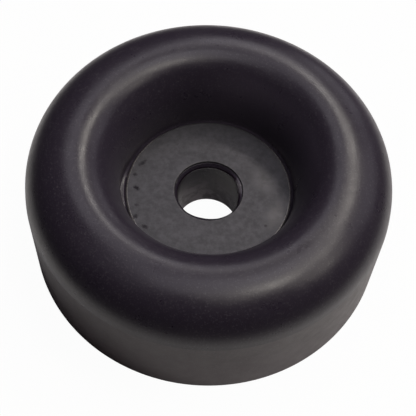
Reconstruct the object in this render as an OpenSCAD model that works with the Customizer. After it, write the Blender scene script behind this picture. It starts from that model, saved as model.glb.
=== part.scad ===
// Round rubber door stop bumper with a steel washer bonded in its recess.
// Both pieces are turned about the Z axis, and the flat base lies on Z = 0.

/* [Body] */
// Outside diameter of the rubber body
body_d = 63.5; // [60:0.5:76]
// Height of the rubber body, from the flat base to the crest of the rim
body_h = 25.4; // [20:0.1:36]
// Height of the domed crown, from the crease on the side to the crest
crown_h = 9.1; // [8:0.1:12]
// Radius of the crown's outside rounding
outer_round = 8.9; // [6:0.1:10]
// Lean of the crown's foot from the upright side wall, in degrees
crease_lean = 6; // [2:0.5:12]
// Radius of the rounding along the edge of the base
base_edge = 0.4; // [0.2:0.1:2]

/* [Recess] */
// Depth of the recess, from the crest to the washer's top face
recess_depth = 12.7; // [9:0.1:16]
// Radius of the tight curve just inside the crest
crest_round = 5.5; // [2:0.1:7]
// Radius of the long curve down the recess wall
wall_round = 15.6; // [9:0.1:30]
// Width of the rubber ledge round the washer
ledge_w = 0.65; // [0.5:0.05:1.6]
// Radius of the fillet where the ledge turns up into the recess wall
root_round = 0.4; // [0.1:0.05:0.45]

/* [Bore] */
// Diameter of the screw hole through the rubber
bore_d = 11.3; // [8:0.1:16]
// Wall of the thin rubber collar that lines the washer's hole
collar_wall = 0.35; // [0.3:0.05:1]

/* [Washer] */
// Outside diameter of the steel washer
washer_d = 29.3; // [26:0.1:32]
// Thickness of the steel washer
washer_t = 2.4; // [1.5:0.1:4]
// Radius of the rolled edge round the washer's top face
washer_edge = 0.35; // [0.1:0.05:0.6]
// Radius of the rolled edge round the washer's hole
hole_edge = 0.15; // [0.05:0.05:0.3]
// How far the washer's top face stands above the rubber ledge and collar
washer_stand = 0.4; // [0.2:0.05:0.8]
// Clearance between the washer and the rubber round its rim and in its hole
bond_gap = 0.03; // [0.01:0.01:0.1]

/* [Hidden] */
$fn = 144;

// How far a cut runs past the face that it opens
past = 1;
// How far a rounding's corner piece runs past the corner
lap = 0.02;

body_r = body_d / 2;
side_h = body_h - crown_h;
bore_r = bore_d / 2;
washer_r = washer_d / 2;
hole_r = bore_r + collar_wall + bond_gap;
recess_r = washer_r + bond_gap + ledge_w;

washer_top = body_h - recess_depth;
seat_z = washer_top - washer_t;
ledge_z = washer_top - washer_stand;

// The crown: an arc from the crest down to crease_lean, then a straight foot to the crease
foot_rise = crown_h - outer_round * (1 - sin(crease_lean));
crest_r = body_r - foot_rise * tan(crease_lean) - outer_round * cos(crease_lean);
outer_c = [crest_r, body_h - outer_round];
arc_end = outer_c + outer_round * [cos(crease_lean), sin(crease_lean)];

// The recess wall: a tight arc from the crest runs smoothly into a long arc that ends upright
flare_w = crest_r - recess_r;
flare_h = crest_round + sqrt(pow(wall_round - crest_round, 2) - pow(wall_round - flare_w, 2));
flare_z = body_h - flare_h;
crest_c = [crest_r, body_h - crest_round];
wall_c = [recess_r + wall_round, flare_z];
blend_angle = atan2(crest_c[1] - wall_c[1], crest_c[0] - wall_c[0]);

// A pie slice of a disc, between two angles that are at most a quarter turn apart
module slice(at, r, from, to) {
    reach = 2 * r;
    middle = (from + to) / 2;
    rays = [for (a = [from, middle, to]) reach * [cos(a), sin(a)]];
    translate(at)
        intersection() {
            circle(r);
            polygon(concat([[0, 0]], rays));
        }
}

// What a rounding takes from a square corner at a point, or adds to a hollow one.
// At 0 degrees the arc's centre lies down and to the left of the corner.
module corner(at, r, turn) {
    translate(at)
        rotate(turn)
            difference() {
                translate([-r, -r])
                    square(r + lap);
                translate([-r, -r])
                    circle(r);
            }
}

// Half section of the body before the recess and the bore are cut
module outside_section() {
    square([body_r, side_h]);
    polygon([
        [0, side_h], [body_r, side_h], arc_end, outer_c, [crest_r, body_h], [0, body_h]
    ]);
    slice(outer_c, outer_round, crease_lean, 90);
}

// The rubber between the recess and the crest: two arcs, the upright foot and its fillet
module shoulder_section() {
    slice(crest_c, crest_round, 90, blend_angle);
    intersection() {
        slice(wall_c, wall_round, blend_angle, 180);
        square([crest_r, body_h]);
    }
    translate([recess_r, 0])
        square([flare_w, flare_z]);
    corner([recess_r, ledge_z], root_round, 270);
}

// The open recess above the ledge
module recess_section() {
    difference() {
        translate([0, ledge_z])
            square([crest_r, recess_depth + washer_stand + past]);
        shoulder_section();
    }
}

// The ring that the washer fills, open at its top
module seat_section() {
    inner_r = hole_r - bond_gap;
    outer_r = washer_r + bond_gap;
    translate([inner_r, seat_z])
        square([outer_r - inner_r, washer_t]);
}

module rubber_body() {
    color([0.12, 0.12, 0.125])
        rotate_extrude()
            difference() {
                outside_section();
                corner([body_r, 0], base_edge, 270);
                recess_section();
                seat_section();
                translate([0, -past])
                    square([bore_r, body_h + 2 * past]);
            }
}

module steel_washer() {
    color([0.5, 0.5, 0.51])
        rotate_extrude()
            difference() {
                translate([hole_r, seat_z])
                    square([washer_r - hole_r, washer_t]);
                corner([washer_r, washer_top], washer_edge, 0);
                corner([hole_r, washer_top], hole_edge, 90);
            }
}

rubber_body();
steel_washer();
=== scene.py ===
"""Looks of a round rubber door stop bumper with a steel washer bonded in its recess."""

import logging
import math
from dataclasses import dataclass, field
from enum import Enum

import bpy
import numpy as np
from mathutils import Matrix, Vector


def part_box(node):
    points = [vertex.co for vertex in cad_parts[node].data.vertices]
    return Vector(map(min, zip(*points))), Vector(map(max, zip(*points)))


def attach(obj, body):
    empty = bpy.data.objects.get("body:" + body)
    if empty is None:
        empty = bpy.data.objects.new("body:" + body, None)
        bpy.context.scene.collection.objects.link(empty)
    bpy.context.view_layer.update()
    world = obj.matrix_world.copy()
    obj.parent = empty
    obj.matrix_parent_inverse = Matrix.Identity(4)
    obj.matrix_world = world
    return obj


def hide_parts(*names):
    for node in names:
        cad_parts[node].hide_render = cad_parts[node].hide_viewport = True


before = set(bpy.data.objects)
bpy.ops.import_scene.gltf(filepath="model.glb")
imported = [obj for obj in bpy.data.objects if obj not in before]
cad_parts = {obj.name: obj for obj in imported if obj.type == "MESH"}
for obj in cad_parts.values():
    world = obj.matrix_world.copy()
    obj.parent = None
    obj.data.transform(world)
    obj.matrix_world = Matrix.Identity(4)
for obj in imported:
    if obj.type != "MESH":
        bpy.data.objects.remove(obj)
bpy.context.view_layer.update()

MM = 0.001
TOUCH = 1e-9
LEAST_ROWS = 6
LOG = logging.getLogger("bumper")

Point = tuple[float, float]
Colour = tuple[float, float, float]
Waves = dict[int, tuple[float, float]]
Socket = bpy.types.NodeSocket
Source = Socket | float


class Slot(Enum):
    """The record's material slots."""

    RUBBER = "rubber"
    STEEL = "steel"


class Grading(Enum):
    """How the rows of a straight run are spread."""

    EVEN = "even"
    ENDS = "ends"


# ---------------------------------------------------------------------------
# Half sections and turned surfaces
# ---------------------------------------------------------------------------


def straight(start: Point, end: Point, step: float, grading: Grading = Grading.ENDS) -> np.ndarray:
    """A straight run of a half section.

    The points are start + t (end - start). With ENDS, t = (1 - cos(pi u)) / 2, which crowds
    the rows at both ends, so that a smooth shaded corner stays crisp.

    Args:
        start: Radius and height where the run starts, in metres.
        end: Radius and height where it ends.
        step: The widest spacing between rows.
        grading: How the rows are spread.

    Returns:
        Rows of radius and height.
    """
    a, b = np.array(start), np.array(end)
    count = max(LEAST_ROWS, math.ceil(float(np.linalg.norm(b - a)) / step))
    u = np.linspace(0.0, 1.0, count + 1)
    t = (1 - np.cos(math.pi * u)) / 2 if grading is Grading.ENDS else u
    return a + t[:, None] * (b - a)


def arc(centre: Point, radius: float, start: float, end: float, step: float) -> np.ndarray:
    """A round run of a half section: centre + radius (cos a, sin a), with a from start to end.

    Args:
        centre: Radius and height of the arc's centre, in metres.
        radius: Radius of the arc.
        start: First angle in degrees, counted from outwards towards up.
        end: Last angle in degrees.
        step: The widest spacing between rows.

    Returns:
        Rows of radius and height.
    """
    length = abs(math.radians(end - start)) * radius
    count = max(LEAST_ROWS, math.ceil(length / step))
    a = np.radians(np.linspace(start, end, count + 1))
    return np.array(centre) + radius * np.stack([np.cos(a), np.sin(a)], axis=1)


def join_runs(runs: list[np.ndarray]) -> np.ndarray:
    """Joins runs into one closed half section.

    Args:
        runs: Runs in order, each starting where the one before it ends.

    Returns:
        The rows with every repeated point left out, the last one included.
    """
    rows = np.concatenate(runs)
    gap = np.linalg.norm(rows - np.roll(rows, 1, axis=0), axis=1)
    return rows[gap > TOUCH]


def turn_section(rows: np.ndarray, turns: int, shift: np.ndarray | None = None) -> np.ndarray:
    """Turns a half section about Z.

    Point (i, j) is (r cos phi, r sin phi, z), with r and z from row i plus that point's shift
    and phi = 2 pi j / turns.

    Args:
        rows: Rows of radius and height.
        turns: Number of columns round the axis.
        shift: Shifts in radius and height, shaped (rows, turns, 2).

    Returns:
        Points shaped (rows, turns, 3).
    """
    phi = np.linspace(0.0, 2 * math.pi, turns, endpoint=False)
    flat = np.repeat(rows[:, None, :], turns, axis=1)
    if shift is not None:
        flat = flat + shift
    r, z = flat[..., 0], flat[..., 1]
    return np.stack([r * np.cos(phi), r * np.sin(phi), z], axis=-1)


def ring_faces(rows: int, turns: int) -> np.ndarray:
    """Quads of a grid that closes on itself both ways, wound so that they face outwards.

    Args:
        rows: Number of rows along the half section.
        turns: Number of columns round the axis.

    Returns:
        Four point numbers a face.
    """
    i, j = np.meshgrid(np.arange(rows), np.arange(turns), indexing="ij")
    up, on = (i + 1) % rows, (j + 1) % turns
    quads = np.stack([i * turns + j, i * turns + on, up * turns + on, up * turns + j], axis=-1)
    return quads.reshape(-1, 4)


def mesh_object(name: str, points: np.ndarray, quads: np.ndarray) -> bpy.types.Object:
    """Makes a smooth shaded mesh object at the origin.

    Args:
        name: Name of the object and of its mesh.
        points: Vertex places in metres, in any shape that ends in 3.
        quads: Four point numbers a face.

    Returns:
        The object, linked to the scene.
    """
    flat = points.reshape(-1, 3)
    mesh = bpy.data.meshes.new(name)
    mesh.vertices.add(len(flat))
    mesh.vertices.foreach_set("co", flat.astype(np.float32).ravel())
    mesh.loops.add(quads.size)
    mesh.loops.foreach_set("vertex_index", quads.astype(np.int32).ravel())
    mesh.polygons.add(len(quads))
    mesh.polygons.foreach_set("loop_start", np.arange(0, quads.size, 4, dtype=np.int32))
    mesh.polygons.foreach_set("use_smooth", np.ones(len(quads), dtype=bool))
    mesh.update(calc_edges=True)
    mesh.validate()
    piece = bpy.data.objects.new(name, mesh)
    bpy.context.scene.collection.objects.link(piece)
    return piece


def window(phi: np.ndarray, middle: float, spread: float) -> np.ndarray:
    """A bell round the axis: cos(90 (phi - middle) / spread) squared, and 0 past the spread.

    Args:
        phi: Angles in radians.
        middle: Where the bell is 1, in degrees.
        spread: How far from there it reaches 0, in degrees.

    Returns:
        The bell at each angle.
    """
    away = (np.degrees(phi) - middle + 180) % 360 - 180
    return np.where(np.abs(away) < spread, np.cos(np.radians(90 * away / spread)) ** 2, 0.0)


def ripple(phi: np.ndarray, waves: Waves) -> np.ndarray:
    """A smooth wobble round the axis: the sum of size times cos(count phi - start).

    Args:
        phi: Angles in radians.
        waves: Wave count to its size and its start in radians.

    Returns:
        The wobble at each angle, in the unit of the sizes.
    """
    total = np.zeros_like(phi)
    for count, (size, start) in waves.items():
        total = total + size * np.cos(count * phi - start)
    return total


# ---------------------------------------------------------------------------
# Finishes
# ---------------------------------------------------------------------------


@dataclass(frozen=True)
class Grain:
    """A noise: its largest grains' size, its finer layers, their strength and its bump's depth."""

    size: float
    layers: float
    strength: float
    depth: float


class Desk:
    """Lays out and joins the nodes of one material."""

    def __init__(self, name: str) -> None:
        """Starts an empty material of that name."""
        self.material = bpy.data.materials.new(name)
        self.material.use_nodes = True
        self.tree = self.material.node_tree
        self.tree.nodes.clear()

    def add(self, kind: str, **settings: object) -> bpy.types.Node:
        """Adds a node.

        Args:
            kind: The node's type name.
            settings: Properties to set on it.

        Returns:
            The node.
        """
        node = self.tree.nodes.new(kind)
        for name, value in settings.items():
            setattr(node, name, value)
        return node

    def feed(self, socket: Socket, value: Source) -> None:
        """Joins a socket to another, or sets its constant."""
        if isinstance(value, Socket):
            self.tree.links.new(value, socket)
        else:
            socket.default_value = value

    def math(self, operation: str, a: Source, b: Source = 0.0, clamp: bool = False) -> Socket:
        """One sum on two values.

        Args:
            operation: The Math node's operation.
            a: First value.
            b: Second value.
            clamp: Whether the result is held from 0 to 1.

        Returns:
            The result's socket.
        """
        node = self.add("ShaderNodeMath", operation=operation, use_clamp=clamp)
        self.feed(node.inputs[0], a)
        self.feed(node.inputs[1], b)
        return node.outputs[0]

    def place(self) -> Socket:
        """The point on the piece, in the row's frame, in metres."""
        return self.add("ShaderNodeTexCoord").outputs["Object"]

    def along(self, vector: Socket, axis: str) -> Socket:
        """One coordinate of a point, X, Y or Z."""
        split = self.add("ShaderNodeSeparateXYZ")
        self.feed(split.inputs[0], vector)
        return split.outputs[axis]

    def away(self, vector: Socket, middle: Point = (0.0, 0.0)) -> Socket:
        """How far a point is, seen from above, from a middle that is the Z axis at first.

        Args:
            vector: The point.
            middle: X and Y of the middle, in metres.

        Returns:
            The distance's socket, in metres.
        """
        flat = self.add("ShaderNodeVectorMath", operation="MULTIPLY")
        self.feed(flat.inputs[0], vector)
        flat.inputs[1].default_value = (1.0, 1.0, 0.0)
        gap = self.add("ShaderNodeVectorMath", operation="DISTANCE")
        self.feed(gap.inputs[0], flat.outputs[0])
        gap.inputs[1].default_value = (*middle, 0.0)
        return gap.outputs["Value"]

    def noise(self, vector: Socket, grain: Grain) -> Socket:
        """Noise round 0.5.

        Args:
            vector: Where it is read, in metres.
            grain: The noise's sizes.

        Returns:
            The noise's socket.
        """
        node = self.add("ShaderNodeTexNoise")
        self.feed(node.inputs["Vector"], vector)
        node.inputs["Scale"].default_value = 1 / grain.size
        node.inputs["Detail"].default_value = grain.layers
        node.inputs["Roughness"].default_value = grain.strength
        return node.outputs[0]

    def mean(self, a: Socket, b: Socket) -> Socket:
        """The mean of two values."""
        return self.math("MULTIPLY", self.math("ADD", a, b), 0.5)

    def spread(
        self, value: Source, low: float, high: float, to_low: float = 0.0, to_high: float = 1.0
    ) -> Socket:
        """Maps low to high onto to_low to to_high smoothly, and holds the ends.

        Args:
            value: The value to map.
            low: Where the change starts.
            high: Where it ends.
            to_low: Result at low.
            to_high: Result at high.

        Returns:
            The mapped value's socket.
        """
        node = self.add("ShaderNodeMapRange", interpolation_type="SMOOTHSTEP", clamp=True)
        self.feed(node.inputs["Value"], value)
        node.inputs["From Min"].default_value = low
        node.inputs["From Max"].default_value = high
        node.inputs["To Min"].default_value = to_low
        node.inputs["To Max"].default_value = to_high
        return node.outputs["Result"]

    def blend(self, share: Source, low: Colour | Socket, high: Colour | Socket) -> Socket:
        """Blends two colours.

        Args:
            share: 0 for the first colour, 1 for the second.
            low: First colour.
            high: Second colour.

        Returns:
            The blended colour's socket.
        """
        node = self.add("ShaderNodeMix", data_type="RGBA")
        self.feed(node.inputs["Factor"], share)
        inputs = [s for s in node.inputs if s.type == "RGBA"]
        for socket, colour in zip(inputs, (low, high), strict=True):
            self.feed(socket, colour if isinstance(colour, Socket) else (*colour, 1.0))
        return next(s for s in node.outputs if s.type == "RGBA")

    def bumps(self, layers: list[tuple[Socket, Grain]]) -> Socket:
        """Bumps the surface, each layer on top of the one before it.

        Args:
            layers: Heights from 0 to 1, each with the grain that holds its real depth.

        Returns:
            The normal's socket.
        """
        under: Socket | None = None
        for height, grain in layers:
            node = self.add("ShaderNodeBump")
            node.inputs["Strength"].default_value = 1.0
            node.inputs["Distance"].default_value = grain.depth
            self.feed(node.inputs["Height"], height)
            if under is not None:
                self.feed(node.inputs["Normal"], under)
            under = node.outputs[0]
        return under

    def shine(self) -> bpy.types.Node:
        """Adds the shader and joins it to the material's output."""
        shader = self.add("ShaderNodeBsdfPrincipled")
        output = self.add("ShaderNodeOutputMaterial")
        self.tree.links.new(shader.outputs[0], output.inputs["Surface"])
        return shader


@dataclass(frozen=True)
class RubberFinish:
    """Black moulded rubber: satin on the dome and in the recess, duller and dustier on the side.

    A pale bloom sits in the finest pores. The side is painted paler towards its foot as painted light
    bounced from the floor, the far right wall of the recess is painted lighter as painted fill light, and
    the bore has painted shade at its mouth and patchy painted light lower down.
    """

    dome: Colour = (0.0286, 0.0225, 0.0350)
    # Painted fill light: a lighter colour laid on the far right wall of the recess, which is in shade.
    painted_wall_light: Colour = (0.058, 0.047, 0.068)
    band: Colour = (0.0360, 0.0200, 0.0270)
    # Painted light: a paler side colour near the base, for light bounced from the floor.
    painted_foot_light: Colour = (0.0620, 0.0440, 0.0540)
    bloom: Colour = (0.100, 0.092, 0.106)
    # Painted shade near the bore's mouth and painted light lower down in the bore.
    bore_mouth_shade: Colour = (0.010, 0.005, 0.011)
    bore_painted_light: Colour = (0.125, 0.104, 0.126)
    cloud: Grain = Grain(9 * MM, 3.0, 0.55, 0.05 * MM)
    smear: Grain = Grain(2.0 * MM, 3.0, 0.6, 0.014 * MM)
    grain: Grain = Grain(0.42 * MM, 2.0, 0.7, 0.008 * MM)
    fleck: Grain = Grain(0.25 * MM, 1.0, 0.5, 0.005 * MM)
    bloom_from: float = 0.50
    bloom_to: float = 0.72
    bloom_most: float = 0.50
    dome_roughness: float = 0.31
    band_roughness: float = 0.38
    roughness_swing: float = 0.05
    worn_from: float = 0.3
    worn_to: float = 0.7
    band_top: float = 16.3 * MM
    band_inside: float = 28 * MM
    # Height where the painted foot light has faded out.
    foot_light_top: float = 14 * MM
    crease_soft: float = 0.08 * MM
    # Where the painted fill light lies on the far right recess wall.
    wall_light_middle: Point = (14 * MM, 12 * MM)
    wall_light_near: float = 8 * MM
    wall_light_far: float = 19 * MM
    wall_light_top: float = 22.5 * MM
    wall_light_soft: float = 2 * MM
    bore_out: float = 5.66 * MM
    # Heights and noise levels of the painted light in the bore.
    bore_light_low: float = 3.0 * MM
    bore_light_high: float = 9.0 * MM
    bore_light_from: float = 0.38
    bore_light_to: float = 0.60
    bore_light_least: float = 0.15

    def make(self) -> bpy.types.Material:
        """Builds the material, which reads Object coordinates."""
        desk = Desk("moulded_rubber")
        shader = desk.shine()
        place = desk.place()
        is_band = self.on_side(desk, place)
        cloud = desk.noise(place, self.cloud)
        smear = desk.noise(place, self.smear)
        grain = desk.noise(place, self.grain)
        fleck = desk.noise(place, self.fleck)

        # Painted fill light: the far right wall of the recess is painted lighter.
        colour = desk.blend(self.in_painted_wall_light(desk, place), self.dome, self.painted_wall_light)
        # The side band, painted paler towards its foot as painted bounce light.
        colour = desk.blend(is_band, colour, self.side_colour(desk, place))
        pores = desk.spread(desk.mean(grain, fleck), self.bloom_from, self.bloom_to, 0.0, self.bloom_most)
        colour = desk.blend(pores, colour, self.bloom)
        # Painted shade at the bore's mouth and patchy painted light lower down in it.
        in_bore = desk.math("LESS_THAN", desk.away(place), self.bore_out)
        colour = desk.blend(in_bore, colour, self.bore_light_and_shade(desk, place, smear))
        desk.feed(shader.inputs["Base Color"], colour)

        swing = self.roughness_swing
        base = desk.spread(is_band, 0.0, 1.0, self.dome_roughness, self.band_roughness)
        worn = desk.spread(desk.mean(cloud, smear), self.worn_from, self.worn_to, -swing, swing)
        desk.feed(shader.inputs["Roughness"], desk.math("ADD", base, worn))

        layers = [(cloud, self.cloud), (smear, self.smear), (grain, self.grain), (fleck, self.fleck)]
        desk.feed(shader.inputs["Normal"], desk.bumps(layers))
        return desk.material

    def on_side(self, desk: Desk, place: Socket) -> Socket:
        """1 on the side band, below the crease and well out from the axis, and 0 elsewhere."""
        low, high = self.band_top - self.crease_soft, self.band_top + self.crease_soft
        below = desk.spread(desk.along(place, "Z"), low, high, 1.0, 0.0)
        out = desk.math("GREATER_THAN", desk.away(place), self.band_inside)
        return desk.math("MULTIPLY", below, out)

    def side_colour(self, desk: Desk, place: Socket) -> Socket:
        """The side's colour: the band's above the foot's top height, painted paler towards the base as
        painted light bounced from the floor.
        """
        low = desk.spread(desk.along(place, "Z"), 0.0, self.foot_light_top, 1.0, 0.0)
        return desk.blend(low, self.band, self.painted_foot_light)

    def in_painted_wall_light(self, desk: Desk, place: Socket) -> Socket:
        """How much painted fill light lies on the far right wall of the recess, up to its top height."""
        away = desk.away(place, self.wall_light_middle)
        close = desk.spread(away, self.wall_light_near, self.wall_light_far, 1.0, 0.0)
        top = self.wall_light_top + self.wall_light_soft
        below = desk.spread(desk.along(place, "Z"), self.wall_light_top, top, 1.0, 0.0)
        return desk.math("MULTIPLY", close, below)

    def bore_light_and_shade(self, desk: Desk, place: Socket, smear: Socket) -> Socket:
        """The bore's colour: painted shade, nearly black, near its mouth, and patchy painted light that is
        strongest low down.

        Args:
            desk: The material's desk.
            place: The point on the piece.
            smear: Noise that breaks the painted light up.

        Returns:
            The colour's socket.
        """
        deep = desk.spread(desk.along(place, "Z"), self.bore_light_low, self.bore_light_high, 1.0, 0.0)
        light_breakup = desk.spread(smear, self.bore_light_from, self.bore_light_to, self.bore_light_least, 1.0)
        return desk.blend(desk.math("MULTIPLY", deep, light_breakup), self.bore_mouth_shade, self.bore_painted_light)


@dataclass(frozen=True)
class Speck:
    """An oval patch on the washer's face: its middle, half length, half width, lean and strength."""

    x: float
    y: float
    length: float
    width: float
    lean: float
    strength: float


@dataclass(frozen=True)
class SteelFinish:
    """Plain dull steel with a soft mottle, a fine grain and dark specks, with a painted highlight on its
    rubbed rim and hole edge and painted light in pale patches near the right rim.
    """

    light: Colour = (0.094, 0.092, 0.100)
    dark: Colour = (0.074, 0.073, 0.079)
    speck: Colour = (0.022, 0.020, 0.024)
    # Pale steel for the rubbed rim and hole edge, which also paints their highlight, and for the painted
    # light patches near the right rim.
    worn: Colour = (0.44, 0.42, 0.41)
    mottle: Grain = Grain(2.6 * MM, 5.0, 0.70, 0.012 * MM)
    blotch: Grain = Grain(0.9 * MM, 3.0, 0.65, 0.006 * MM)
    pits: Grain = Grain(0.30 * MM, 2.0, 0.6, 0.006 * MM)
    tone_from: float = 0.34
    tone_to: float = 0.66
    rim_from: float = 14.25 * MM
    rim_to: float = 14.45 * MM
    hole_from: float = 6.19 * MM
    hole_to: float = 6.43 * MM
    # Shares and sides of the painted highlight on the rubbed rim and hole edge.
    hole_wear_and_highlight: float = 0.25
    worn_from: float = 8 * MM
    worn_to: float = 13 * MM
    side_highlight_least: float = 0.15
    break_from: float = 0.3
    break_to: float = 0.6
    break_least: float = 0.4
    roughness: float = 0.57
    roughness_swing: float = 0.05
    dull_from: float = 0.3
    dull_to: float = 0.7
    fray: float = 1.6
    patch_from: float = 0.3
    patch_to: float = 1.3
    specks: tuple[Speck, ...] = (
        Speck(-12.10 * MM, 4.90 * MM, 0.95 * MM, 0.42 * MM, 48.0, 0.75),
        Speck(-13.25 * MM, 2.40 * MM, 0.44 * MM, 0.34 * MM, 10.0, 0.80),
        Speck(-12.75 * MM, -0.35 * MM, 0.62 * MM, 0.44 * MM, -35.0, 0.95),
        Speck(-12.45 * MM, -3.85 * MM, 0.46 * MM, 0.36 * MM, 0.0, 0.50),
        Speck(-12.45 * MM, -6.15 * MM, 0.54 * MM, 0.46 * MM, 20.0, 0.85),
        Speck(-10.70 * MM, -8.05 * MM, 0.66 * MM, 0.44 * MM, -20.0, 0.80),
        Speck(10.30 * MM, -6.50 * MM, 0.30 * MM, 0.26 * MM, 0.0, 0.55),
    )
    # Painted light: paler patches near the right rim, where the face is lit.
    painted_light_patches: tuple[Speck, ...] = (
        Speck(12.20 * MM, -4.40 * MM, 3.40 * MM, 1.90 * MM, 65.0, 0.11),
        Speck(9.60 * MM, 2.60 * MM, 3.20 * MM, 2.00 * MM, -50.0, 0.05),
    )

    def make(self) -> bpy.types.Material:
        """Builds the material, which reads Object coordinates."""
        desk = Desk("plain_steel")
        shader = desk.shine()
        place = desk.place()
        mottle = desk.noise(place, self.mottle)
        blotch = desk.noise(place, self.blotch)
        pits = desk.noise(place, self.pits)

        tone = desk.mean(mottle, blotch)
        colour = desk.blend(desk.spread(tone, self.tone_from, self.tone_to), self.dark, self.light)
        # Painted highlight on the rubbed rim and hole edge, then painted light patches near the right rim.
        colour = desk.blend(self.edge_wear_and_highlight(desk, place, pits), colour, self.worn)
        colour = desk.blend(self.patches(desk, place, blotch, self.painted_light_patches), colour, self.worn)
        colour = desk.blend(self.patches(desk, place, pits, self.specks), colour, self.speck)
        desk.feed(shader.inputs["Base Color"], colour)
        dullest = self.roughness + self.roughness_swing
        glossiest = self.roughness - self.roughness_swing
        dulled = desk.spread(tone, self.dull_from, self.dull_to, dullest, glossiest)
        desk.feed(shader.inputs["Roughness"], dulled)
        shader.inputs["Metallic"].default_value = 1.0

        layers = [(mottle, self.mottle), (blotch, self.blotch), (pits, self.pits)]
        desk.feed(shader.inputs["Normal"], desk.bumps(layers))
        return desk.material

    def edge_wear_and_highlight(self, desk: Desk, place: Socket, pits: Socket) -> Socket:
        """How bright the rolled rim and the hole's edge are rubbed and painted as a painted highlight,
        most on the left and right, where the highlight falls.

        Args:
            desk: The material's desk.
            place: The point on the piece.
            pits: Fine noise that breaks the wear up.

        Returns:
            A socket from 0 to 1.
        """
        radius = desk.away(place)
        rim = desk.spread(radius, self.rim_from, self.rim_to)
        hole = desk.spread(radius, self.hole_from, self.hole_to, self.hole_wear_and_highlight, 0.0)
        side = desk.math("ABSOLUTE", desk.along(place, "X"))
        highlight_sides = desk.spread(side, self.worn_from, self.worn_to, self.side_highlight_least, 1.0)
        broken = desk.spread(pits, self.break_from, self.break_to, self.break_least, 1.0)
        highlight_sides = desk.math("MULTIPLY", highlight_sides, broken)
        return desk.math("MULTIPLY", desk.math("MAXIMUM", rim, hole), highlight_sides)

    def patches(self, desk: Desk, place: Socket, noise: Socket, specks: tuple[Speck, ...]) -> Socket:
        """How much of each point is under a patch.

        The point is turned and scaled so that each patch is a unit disc. Its share is its strength
        up to patch_from from its middle and falls to 0 at patch_to, with the distance frayed by the
        noise. Where patches meet, the largest share counts.

        Args:
            desk: The material's desk.
            place: The point on the piece.
            noise: Noise that frays the patches' edges.
            specks: The patches.

        Returns:
            A socket from 0 to 1.
        """
        frayed = desk.math("MULTIPLY", desk.math("SUBTRACT", noise, 0.5), self.fray)
        total: Source = 0.0
        for speck in specks:
            disc = desk.add("ShaderNodeMapping", vector_type="TEXTURE")
            desk.feed(disc.inputs["Vector"], place)
            disc.inputs["Location"].default_value = (speck.x, speck.y, 0.0)
            disc.inputs["Rotation"].default_value = (0.0, 0.0, math.radians(speck.lean))
            disc.inputs["Scale"].default_value = (speck.length, speck.width, 1.0)
            gap = desk.add("ShaderNodeVectorMath", operation="LENGTH")
            desk.feed(gap.inputs[0], disc.outputs[0])
            edge = desk.math("ADD", gap.outputs["Value"], frayed)
            share = desk.spread(edge, self.patch_from, self.patch_to, speck.strength, 0.0)
            total = desk.math("MAXIMUM", total, share)
        return total


# ---------------------------------------------------------------------------
# Pieces
# ---------------------------------------------------------------------------


LIP_WAVES: Waves = {3: (0.15, 2.4), 7: (0.12, 0.3), 17: (0.06, 1.7)}
FLASH_WAVES: Waves = {23: (0.14, 0.4), 41: (0.10, 2.1), 67: (0.08, 1.0)}


@dataclass
class SteelWasher:
    """The flat steel ring, with a rolled edge round its face and its hole."""

    radius: float
    top: float
    thickness: float
    hole_radius: float = 6.03 * MM
    rim_edge: float = 0.35 * MM
    hole_edge: float = 0.15 * MM
    step: float = 0.35 * MM
    under_step: float = 0.70 * MM
    rim_step: float = 0.04 * MM
    hole_step: float = 0.03 * MM
    turns: int = 320

    @classmethod
    def from_frame(cls, node: str) -> "SteelWasher":
        """Takes the washer's outer sizes from its solid.

        Args:
            node: Name of the solid.

        Returns:
            The washer.
        """
        low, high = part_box(node)
        return cls(radius=high.x, top=high.z, thickness=high.z - low.z)

    def section(self) -> np.ndarray:
        """The closed half section: underside, rim, rolled edge, face, hole edge and hole."""
        outer, inner, top = self.radius, self.hole_radius, self.top
        low = top - self.thickness
        rim, bore, step = self.rim_edge, self.hole_edge, self.step
        return join_runs([
            straight((inner, low), (outer, low), self.under_step),
            straight((outer, low), (outer, top - rim), step),
            arc((outer - rim, top - rim), rim, 0, 90, self.rim_step),
            straight((outer - rim, top), (inner + bore, top), step),
            arc((inner + bore, top - bore), bore, 90, 180, self.hole_step),
            straight((inner, top - bore), (inner, low), step),
        ])

    def build(self) -> bpy.types.Object:
        """Turns the section into the washer's mesh and dresses it."""
        rows = self.section()
        points = turn_section(rows, self.turns)
        piece = mesh_object("washer_ring", points, ring_faces(len(rows), self.turns))
        piece.data.materials.append(SteelFinish().make())
        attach(piece, "root")
        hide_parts("steel_washer")
        return piece


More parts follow.
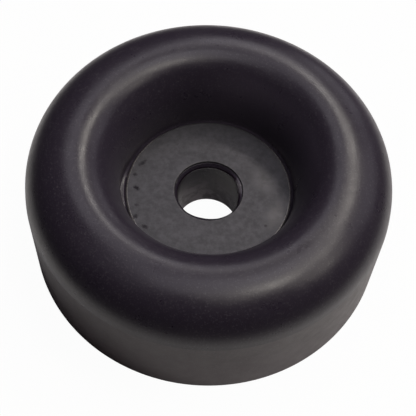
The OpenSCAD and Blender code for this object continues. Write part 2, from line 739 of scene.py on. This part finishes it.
@dataclass
class RubberBody:
    """The moulded rubber: base, side, crease, dome, recess, ledge, seat, collar and bore."""

    radius: float
    height: float
    washer: SteelWasher
    crown_h: float = 9.1 * MM
    outer_round: float = 8.9 * MM
    crease_lean: float = 6.0
    base_edge: float = 0.4 * MM
    crest_round: float = 5.5 * MM
    wall_round: float = 15.6 * MM
    ledge_w: float = 0.65 * MM
    root_round: float = 0.15 * MM
    bore_radius: float = 5.65 * MM
    washer_stand: float = 0.4 * MM
    bond_gap: float = 0.03 * MM
    pocket_angle: float = 186.0
    pocket_spread: float = 30.0
    pocket_depth: float = 0.40 * MM
    pocket_run: float = 0.4
    pocket_slope: float = 0.2
    ledge_slope: float = 1.5
    ledge_squeeze: float = 0.25 * MM
    ledge_dip: float = 0.20 * MM
    ledge_rise: float = 0.30 * MM
    ledge_zone: float = 4 * MM
    ledge_fade: float = 5 * MM
    lip_reach: float = 0.12 * MM
    flash_angle: float = 15.0
    flash_spread: float = 52.0
    flash_reach: float = 0.30 * MM
    flash_lift: float = 0.15 * MM
    flash_depth: float = 1.50 * MM
    collar_drop: float = 0.95 * MM
    near_angle: float = 262.0
    near_spread: float = 75.0
    near_level: float = 0.75
    step: float = 0.42 * MM
    under_step: float = 1.26 * MM
    side_step: float = 0.63 * MM
    foot_step: float = 0.21 * MM
    edge_step: float = 0.08 * MM
    ledge_step: float = 0.06 * MM
    collar_step: float = 0.05 * MM
    turns: int = 384

    @classmethod
    def from_frame(cls, node: str, washer: SteelWasher) -> "RubberBody":
        """Takes the body's outer sizes from its solid.

        Args:
            node: Name of the solid.
            washer: The washer that sits in it.

        Returns:
            The body.
        """
        _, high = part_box(node)
        return cls(radius=high.x, height=high.z, washer=washer)

    def section(self) -> np.ndarray:
        """The closed half section, counter-clockwise from the foot of the bore."""
        lean = math.radians(self.crease_lean)
        side_h = self.height - self.crown_h
        rise = self.crown_h - self.outer_round * (1 - math.sin(lean))
        crest_r = self.radius - rise * math.tan(lean) - self.outer_round * math.cos(lean)
        outer_c = (crest_r, self.height - self.outer_round)
        reach = (self.outer_round * math.cos(lean), self.outer_round * math.sin(lean))
        arc_end = (outer_c[0] + reach[0], outer_c[1] + reach[1])

        washer = self.washer
        recess_r = washer.radius + self.bond_gap + self.ledge_w
        seat_z = washer.top - washer.thickness
        ledge_z = washer.top - self.washer_stand
        flare_w = crest_r - recess_r
        flare_h = self.crest_round + math.sqrt(
            (self.wall_round - self.crest_round) ** 2 - (self.wall_round - flare_w) ** 2
        )
        flare_z = self.height - flare_h
        crest_c = (crest_r, self.height - self.crest_round)
        wall_c = (recess_r + self.wall_round, flare_z)
        blend = math.degrees(math.atan2(crest_c[1] - wall_c[1], crest_c[0] - wall_c[0]))

        seat_out = washer.radius + self.bond_gap
        collar_r = washer.hole_radius - self.bond_gap
        edge, root, bore, step = self.base_edge, self.root_round, self.bore_radius, self.step
        lip_z = ledge_z - self.flash_depth
        return join_runs([
            straight((bore, 0.0), (self.radius - edge, 0.0), self.under_step),
            arc((self.radius - edge, edge), edge, -90, 0, self.edge_step),
            straight((self.radius, edge), (self.radius, side_h), self.side_step),
            straight((self.radius, side_h), arc_end, self.foot_step),
            arc(outer_c, self.outer_round, self.crease_lean, 90, step),
            arc(crest_c, self.crest_round, 90, blend, step),
            arc(wall_c, self.wall_round, blend, 180, step),
            straight((recess_r, flare_z), (recess_r, ledge_z + root), step),
            arc((recess_r - root, ledge_z + root), root, 0, -90, self.ledge_step),
            straight((recess_r - root, ledge_z), (seat_out, ledge_z), self.ledge_step, Grading.EVEN),
            straight((seat_out, ledge_z), (seat_out, seat_z), step),
            straight((seat_out, seat_z), (collar_r, seat_z), self.under_step),
            straight((collar_r, seat_z), (collar_r, ledge_z), step),
            straight((collar_r, ledge_z), (bore, ledge_z), self.collar_step, Grading.EVEN),
            straight((bore, ledge_z), (bore, lip_z), self.edge_step, Grading.EVEN),
            straight((bore, lip_z), (bore, 0.0), step),
        ])

    def relief(self, rows: np.ndarray) -> np.ndarray:
        """How far each point lies off the true section, in radius and height.

        Args:
            rows: Rows of the section.

        Returns:
            Shifts shaped (rows, turns, 2).
        """
        phi = np.linspace(0.0, 2 * math.pi, self.turns, endpoint=False)
        return self.ledge_relief(rows, phi) + self.collar_relief(rows, phi)

    def ledge_relief(self, rows: np.ndarray, phi: np.ndarray) -> np.ndarray:
        """Shapes the rubber at the foot of the recess wall.

        With t = (r - seat) / ledge_w, the lift is (ledge_dip + ledge_rise) climb - ledge_dip. The
        climb is ledge_slope t. Towards pocket_angle it turns, by bell(phi), into t / pocket_run,
        held at 1, plus pocket_slope t, so that most of the pocket's floor is nearly flat. There
        the foot of the wall moves out by pocket_depth t squared, and elsewhere it moves in by
        ledge_squeeze t squared. Both moves fade out over ledge_fade up the wall.

        Args:
            rows: Rows of the section.
            phi: Angles of the columns.

        Returns:
            Shifts shaped (rows, turns, 2).
        """
        washer = self.washer
        seat_out = washer.radius + self.bond_gap
        ledge_z = washer.top - self.washer_stand
        r, z = rows[:, 0], rows[:, 1]
        inside = (r > seat_out - TOUCH) & (r < seat_out + self.ledge_zone) & (z > ledge_z - TOUCH)
        across = np.clip((r - seat_out) / self.ledge_w, 0.0, 1.0)
        fade = np.clip(1 - (z - ledge_z) / self.ledge_fade, 0.0, 1.0) ** 2
        bell = window(phi, self.pocket_angle, self.pocket_spread)
        flat = np.clip(across / self.pocket_run, 0.0, 1.0) + self.pocket_slope * across
        climb = flat[:, None] * bell + self.ledge_slope * across[:, None] * (1 - bell)
        offset = self.pocket_depth * bell - self.ledge_squeeze * (1 - bell)
        lift = (self.ledge_dip + self.ledge_rise) * climb - self.ledge_dip
        shift = np.zeros((len(rows), self.turns, 2))
        shift[..., 0] = (inside * across**2 * fade)[:, None] * offset
        shift[..., 1] = (inside * fade)[:, None] * lift
        return shift

    def collar_relief(self, rows: np.ndarray, phi: np.ndarray) -> np.ndarray:
        """Shapes the thin collar round the hole.

        With t from 0 at the washer to 1 at the bore, the collar's top slopes down by collar_drop t,
        and its inner edge leans in by lip_reach t times an uneven wobble. Round near_angle it
        slopes less, by near_level, and leans in twice as far. Round flash_angle a thin ragged
        flash stands up by flash_lift instead and reaches further in by flash_reach t, both times
        bell(phi), with the reach frayed by short waves. All of it fades out down the bore.

        Args:
            rows: Rows of the section.
            phi: Angles of the columns.

        Returns:
            Shifts shaped (rows, turns, 2).
        """
        ledge_z = self.washer.top - self.washer_stand
        collar_r = self.washer.hole_radius - self.bond_gap
        lip_z = ledge_z - self.flash_depth
        r, z = rows[:, 0], rows[:, 1]
        bell = window(phi, self.flash_angle, self.flash_spread)
        fray = 1.0 + ripple(phi, FLASH_WAVES)
        near = window(phi, self.near_angle, self.near_spread)
        uneven = 1.0 + near + ripple(phi, LIP_WAVES)
        inward = np.clip((collar_r - r) / (collar_r - self.bore_radius), 0.0, 1.0)
        down = np.clip((z - lip_z) / self.flash_depth, 0.0, 1.0)
        collar = (r < collar_r + TOUCH) * down
        reach = self.lip_reach * uneven + self.flash_reach * bell * fray
        drop = self.collar_drop * (1 - bell) * (1 - self.near_level * near)
        shift = np.zeros((len(rows), self.turns, 2))
        shift[..., 0] = -(collar * inward)[:, None] * reach
        shift[..., 1] = collar[:, None] * (self.flash_lift * bell - inward[:, None] * drop)
        return shift

    def build(self) -> bpy.types.Object:
        """Turns the section into the rubber's mesh and dresses it."""
        rows = self.section()
        points = turn_section(rows, self.turns, self.relief(rows))
        piece = mesh_object("bumper_rubber", points, ring_faces(len(rows), self.turns))
        piece.data.materials.append(RubberFinish().make())
        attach(piece, "root")
        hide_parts("rubber_body")
        return piece


# ---------------------------------------------------------------------------
# Studio
# ---------------------------------------------------------------------------


WARM: Colour = (1.0, 0.945, 0.855)
COOL: Colour = (0.97, 0.93, 1.0)


@dataclass(frozen=True)
class Softbox:
    """A square lamp that looks at the object."""

    name: str
    azimuth: float
    elevation: float
    size: float
    power: float
    colour: Colour = (1.0, 1.0, 1.0)
    distance: float = 0.9

    def hang(self, aim: Vector) -> bpy.types.Object:
        """Hangs the lamp.

        Azimuth 0 is in front, where -Y is, and 90 is on the right, where +X is.

        Args:
            aim: The point it looks at.

        Returns:
            The lamp.
        """
        az, el = math.radians(self.azimuth), math.radians(self.elevation)
        away = Vector((math.sin(az) * math.cos(el), -math.cos(az) * math.cos(el), math.sin(el)))
        data = bpy.data.lights.new(self.name, "AREA")
        data.shape = "SQUARE"
        data.size = self.size
        data.energy = self.power
        data.color = self.colour
        lamp = bpy.data.objects.new(self.name, data)
        lamp.location = aim + away * self.distance
        lamp.rotation_mode = "QUATERNION"
        lamp.rotation_quaternion = away.to_track_quat("Z", "Y")
        bpy.context.scene.collection.objects.link(lamp)
        return lamp


@dataclass
class Studio:
    """The camera, the lamps, the pale floor and the plain surroundings."""

    aim: Vector = field(default_factory=lambda: Vector((0.08, 0.0, 6.41)) * MM)
    elevation: float = 60.106
    distance: float = 185.06 * MM
    lens: float = 87.823
    sensor: float = 36.0
    roll: float = 3.389
    clip_near: float = 0.01
    clip_far: float = 50.0
    floor_radius: float = 4.0
    floor_turns: int = 64
    floor_tone: float = 0.90
    floor_dark: float = 0.06
    floor_behind: float = 15 * MM
    floor_near: float = 50 * MM
    floor_far: float = 105 * MM
    shade_middle: Point = (-9.2 * MM, -7.7 * MM)
    shade_near: float = 21 * MM
    shade_far: float = 28 * MM
    shade_level: float = 0.10
    shade_inside: float = 25 * MM
    seen_white: float = 0.97
    mirrored_white: float = 0.06
    surround: float = 0.0
    lamps: tuple[Softbox, ...] = (
        Softbox("window_near_right", 32.0, 66.0, 0.34, 0.42, WARM),
        Softbox("window_right", 60.0, 64.0, 0.14, 0.86, WARM),
        Softbox("window_low_right", 75.0, 42.0, 0.30, 0.64, WARM),
        Softbox("window_high_right", 92.0, 66.0, 0.30, 0.23, WARM),
        Softbox("window_far_right", 95.0, 56.0, 0.12, 0.43, WARM),
        Softbox("tube_far_right", 112.0, 56.0, 0.12, 0.18, WARM),
        Softbox("tube_right", 130.0, 54.0, 0.12, 0.60, WARM),
        Softbox("tube_middle", 147.0, 51.0, 0.06, 0.63, WARM),
        Softbox("tube_left", 163.0, 50.0, 0.05, 0.47, WARM),
        Softbox("window_low_back", 172.0, 42.0, 0.30, 0.61, COOL),
        Softbox("fill_back_left", 205.0, 58.0, 0.36, 0.59, COOL),
        Softbox("fill_low_right", 115.0, 28.0, 0.50, 0.55, COOL),
        Softbox("fill_low_back", 150.0, 16.0, 0.36, 0.32, COOL),
        Softbox("fill_high", 120.0, 75.0, 0.34, 0.45, COOL),
        Softbox("fill_top", 0.0, 86.0, 0.50, 0.86, COOL),
        Softbox("fill_left", 300.0, 60.0, 0.50, 0.13, COOL),
    )

    def set_camera(self) -> bpy.types.Object:
        """Places the camera in front and above, turned a little about its line of sight."""
        e, roll = math.radians(self.elevation), math.radians(self.roll)
        back = Vector((0.0, -math.cos(e), math.sin(e)))
        right = Vector((1.0, 0.0, 0.0))
        up = back.cross(right)
        x_axis = right * math.cos(roll) + up * math.sin(roll)
        y_axis = up * math.cos(roll) - right * math.sin(roll)
        data = bpy.data.cameras.new("camera")
        data.sensor_width = self.sensor
        data.lens = self.lens
        data.clip_start, data.clip_end = self.clip_near, self.clip_far
        camera = bpy.data.objects.new("camera", data)
        turned = Matrix((x_axis, y_axis, back)).transposed().to_4x4()
        camera.matrix_world = Matrix.Translation(self.aim + back * self.distance) @ turned
        bpy.context.scene.collection.objects.link(camera)
        bpy.context.scene.camera = camera
        return camera

    def hang_lamps(self) -> int:
        """Hangs the lamps and says how many there are."""
        for box in self.lamps:
            box.hang(self.aim)
        return len(self.lamps)

    def lay_floor(self) -> bpy.types.Object:
        """Lays a round white floor that the object stands on."""
        turns = self.floor_turns
        phi = np.linspace(0.0, 2 * math.pi, turns, endpoint=False)
        rim = self.floor_radius * np.stack([np.cos(phi), np.sin(phi), 0 * phi], axis=1)
        mesh = bpy.data.meshes.new("floor")
        mesh.from_pydata(rim.tolist(), [], [list(range(turns))])
        floor = bpy.data.objects.new("floor", mesh)
        bpy.context.scene.collection.objects.link(floor)
        floor.data.materials.append(self.floor_finish())
        return floor

    def floor_finish(self) -> bpy.types.Material:
        """White where the camera sees it, and a pale matt sheet for every other ray.

        The sheet darkens with the distance from a point floor_behind the object's axis, from
        floor_near to floor_far. Round shade_middle it lies in the object's own soft shade,
        which leaves out what the object covers and what shows through its hole.

        Returns:
            The floor's material.
        """
        desk = Desk("pale_floor")
        place = desk.place()
        away = desk.away(place, (0.0, self.floor_behind))
        lit = desk.spread(away, self.floor_near, self.floor_far, 1.0, self.floor_dark)
        close = desk.away(place, self.shade_middle)
        shade = desk.spread(close, self.shade_near, self.shade_far, self.shade_level, 1.0)
        hidden = desk.math("LESS_THAN", desk.away(place), self.shade_inside)
        lit = desk.math("MULTIPLY", lit, desk.math("MAXIMUM", shade, hidden))
        path = desk.add("ShaderNodeLightPath")
        mirrored = desk.math("MAXIMUM", path.outputs["Is Glossy Ray"], path.outputs["Is Transmission Ray"])
        mirrored = desk.math("MULTIPLY", mirrored, desk.math("MULTIPLY", lit, self.mirrored_white))
        seen = desk.math("MULTIPLY", path.outputs["Is Camera Ray"], self.seen_white)
        seen = desk.math("MAXIMUM", seen, mirrored)
        glow = desk.add("ShaderNodeEmission")
        matt = desk.add("ShaderNodeBsdfDiffuse")
        desk.feed(matt.inputs["Color"], desk.math("MULTIPLY", lit, self.floor_tone))
        mix = desk.add("ShaderNodeMixShader")
        desk.feed(mix.inputs["Fac"], seen)
        desk.tree.links.new(matt.outputs[0], mix.inputs[1])
        desk.tree.links.new(glow.outputs[0], mix.inputs[2])
        output = desk.add("ShaderNodeOutputMaterial")
        desk.tree.links.new(mix.outputs[0], output.inputs["Surface"])
        return desk.material

    def set_surroundings(self) -> None:
        """White where the camera sees it, and as dark as surround says for every other ray."""
        world = bpy.data.worlds.new("room")
        bpy.context.scene.world = world
        world.use_nodes = True
        tree = world.node_tree
        tree.nodes.clear()
        path = tree.nodes.new("ShaderNodeLightPath")
        level = tree.nodes.new("ShaderNodeMapRange")
        level.inputs["To Min"].default_value = self.surround
        level.inputs["To Max"].default_value = 1.0
        tree.links.new(path.outputs["Is Camera Ray"], level.inputs["Value"])
        back = tree.nodes.new("ShaderNodeBackground")
        tree.links.new(level.outputs["Result"], back.inputs["Strength"])
        output = tree.nodes.new("ShaderNodeOutputWorld")
        tree.links.new(back.outputs[0], output.inputs["Surface"])

    def build(self) -> None:
        """Makes everything that isn't part of the object, the camera first."""
        self.set_camera()
        self.lay_floor()
        self.hang_lamps()
        self.set_surroundings()
        bpy.context.scene.view_settings.view_transform = "Standard"


def main() -> None:
    """Builds the studio and the two pieces in order, and reports each."""
    logging.basicConfig(level=logging.INFO, format="%(name)s: %(message)s")
    Studio().build()
    washer = SteelWasher.from_frame("steel_washer")
    body = RubberBody.from_frame("rubber_body", washer)
    for piece in (body.build(), washer.build()):
        LOG.info("%s has %d faces", piece.name, len(piece.data.polygons))


if __name__ == "__main__":
    main()
